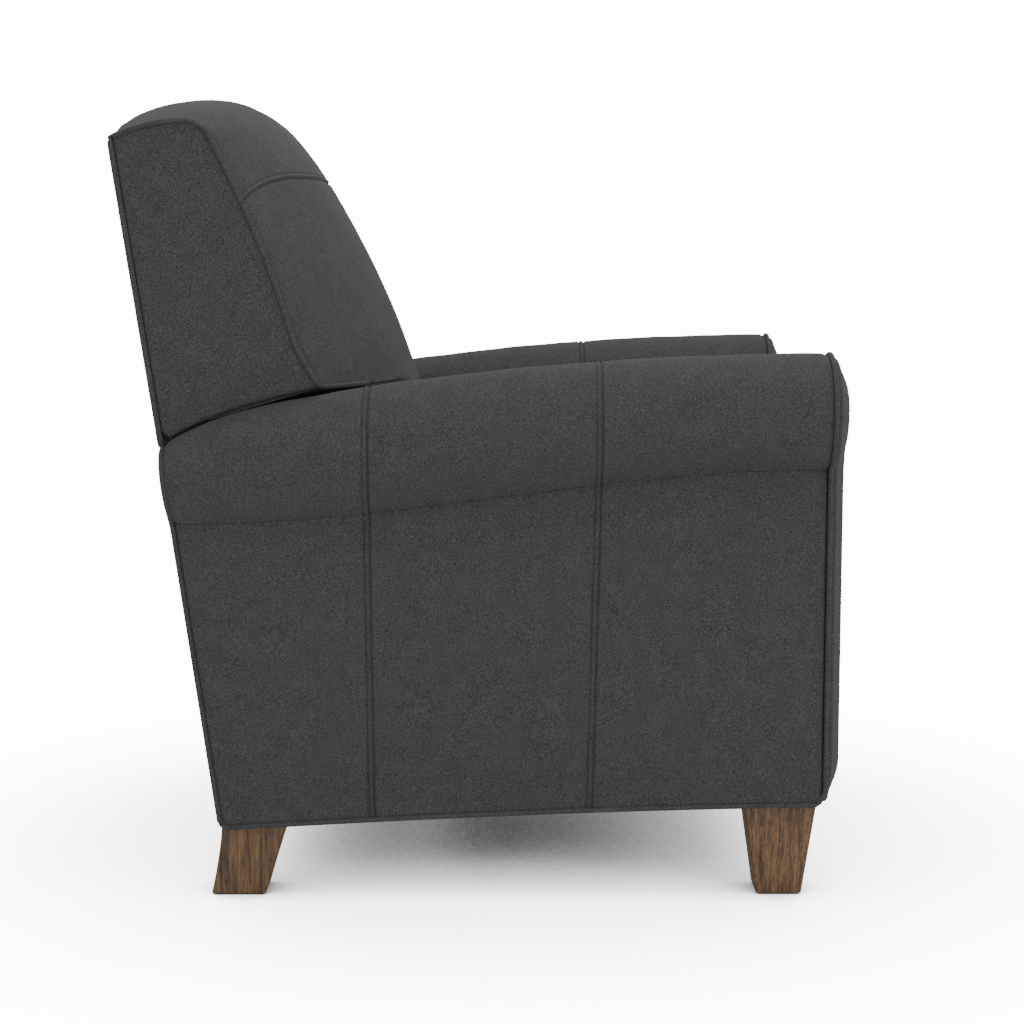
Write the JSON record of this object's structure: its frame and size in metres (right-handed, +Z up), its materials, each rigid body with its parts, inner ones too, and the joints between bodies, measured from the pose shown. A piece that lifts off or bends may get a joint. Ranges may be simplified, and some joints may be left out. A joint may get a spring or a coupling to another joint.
{
  "type": "high-leg recliner",
  "caption": "Push-back armchair with rolled arms, a winged crowned back, tapered wooden legs and a front panel that swings up as a footrest",
  "frame": {"origin": "On the floor under the middle of the chair, at the centre of its box in x and y", "axes": "+Z is up, the chair faces -Y, and +X is on the sitter's left"},
  "size_m": [0.8158, 0.9223, 1.0234],
  "materials": {
    "cover": "charcoal woven upholstery fabric with a fine heathered weave",
    "cushion": "the same charcoal fabric over foam and fibre filling",
    "frame_wood": "unfinished plywood and softwood, hidden under the upholstery",
    "leg_wood": "satin walnut-brown stain with a straight grain",
    "steel": "black painted steel strip",
    "zinc": "zinc-plated rivets, screws and bolts",
    "webbing": "black elastic webbing",
    "glide": "black nail-on plastic glides"
  },
  "bodies": {
    "frame": {"arm_frame_right": "frame_wood", "arm_frame_left": "frame_wood", "arm_cover_right": "cover", "arm_cover_left": "cover", "outside_panel_right": "cover", "outside_panel_left": "cover", "arm_front_panel_right": "cover", "arm_front_panel_left": "cover", "arm_front_welt_right": "cover", "arm_front_welt_left": "cover", "rear_panel": "cover", "front_rail": "frame_wood", "rear_rail": "frame_wood", "corner_blocks": "frame_wood", "front_leg_right": "leg_wood", "front_leg_left": "leg_wood", "rear_leg_right": "leg_wood", "rear_leg_left": "leg_wood", "leg_bolts": "zinc", "leg_glides": "glide", "frame_plate_right": "steel", "frame_plate_left": "steel", "frame_plate_screws": "zinc", "frame_rivets": "zinc"},
    "back": {"back_cushion": "cushion", "back_post_right": "frame_wood", "back_post_left": "frame_wood", "back_top_rail": "frame_wood", "back_middle_rail": "frame_wood", "back_bottom_rail": "frame_wood", "outside_back": "cover", "wing_panel_right": "cover", "wing_panel_left": "cover", "wing_welt_right": "cover", "wing_welt_left": "cover", "back_brackets": "steel", "back_bolts": "zinc", "back_webbing": "webbing"},
    "seat": {"seat_cushion": "cushion", "seat_rail_right": "frame_wood", "seat_rail_left": "frame_wood", "seat_front_rail": "frame_wood", "seat_rear_rail": "frame_wood", "seat_webbing": "webbing", "seat_plate_right": "steel", "seat_plate_left": "steel", "seat_rivets": "zinc"},
    "swing_links": {"swing_links": "steel"},
    "rear_links": {"footrest_rear_links": "steel", "torque_tube": "steel", "rear_link_rivets": "zinc"},
    "front_links": {"footrest_front_links": "steel", "front_link_rivets": "zinc"},
    "lower_arms": {"footrest_lower_arms": "steel", "lower_arm_rivets": "zinc"},
    "upper_arms": {"footrest_upper_arms": "steel"},
    "footrest": {"footrest_brackets": "steel", "footrest_rivets": "zinc", "footrest_board": "frame_wood", "footrest_pad": "cushion"}
  },
  "joints": [
    {"name": "back_recline", "type": "hinge", "parent": "frame", "child": "back", "pos_m": [0, 0.334, 0.452], "axis": [-1, 0, 0], "range_deg": [0, 26]},
    {"name": "seat_carry", "type": "hinge", "parent": "back", "child": "seat", "pos_m": [0, 0.334, 0.302], "axis": [-1, 0, 0], "range_deg": [-26, 0]},
    {"name": "swing_link_turn", "type": "hinge", "parent": "frame", "child": "swing_links", "pos_m": [0, -0.06, 0.345], "axis": [-1, 0, 0], "range_deg": [0, 26]},
    {"name": "footrest_open", "type": "hinge", "parent": "seat", "child": "rear_links", "pos_m": [0, -0.226, 0.328], "axis": [-1, 0, 0], "range_deg": [0, 90]},
    {"name": "front_link_turn", "type": "hinge", "parent": "seat", "child": "front_links", "pos_m": [0, -0.286, 0.336], "axis": [-1, 0, 0], "range_deg": [0, 90]},
    {"name": "lower_arm_turn", "type": "hinge", "parent": "rear_links", "child": "lower_arms", "pos_m": [0, -0.17103, 0.14822], "axis": [-1, 0, 0], "range_deg": [-90, 0]},
    {"name": "footrest_turn", "type": "hinge", "parent": "lower_arms", "child": "footrest", "pos_m": [0, -0.376, 0.25], "axis": [-1, 0, 0], "range_deg": [0, 90]},
    {"name": "upper_arm_turn", "type": "hinge", "parent": "front_links", "child": "upper_arms", "pos_m": [0, -0.24625, 0.18884], "axis": [-1, 0, 0], "range_deg": [-90, 0]}
  ],
  "couplings": [
    {"joint": "seat_carry", "follows": "back_recline", "ratio": -1},
    {"joint": "swing_link_turn", "follows": "back_recline", "ratio": 1},
    {"joint": "front_link_turn", "follows": "footrest_open", "ratio": 1},
    {"joint": "lower_arm_turn", "follows": "footrest_open", "ratio": -1},
    {"joint": "footrest_turn", "follows": "footrest_open", "ratio": 1},
    {"joint": "upper_arm_turn", "follows": "footrest_open", "ratio": -1}
  ]
}
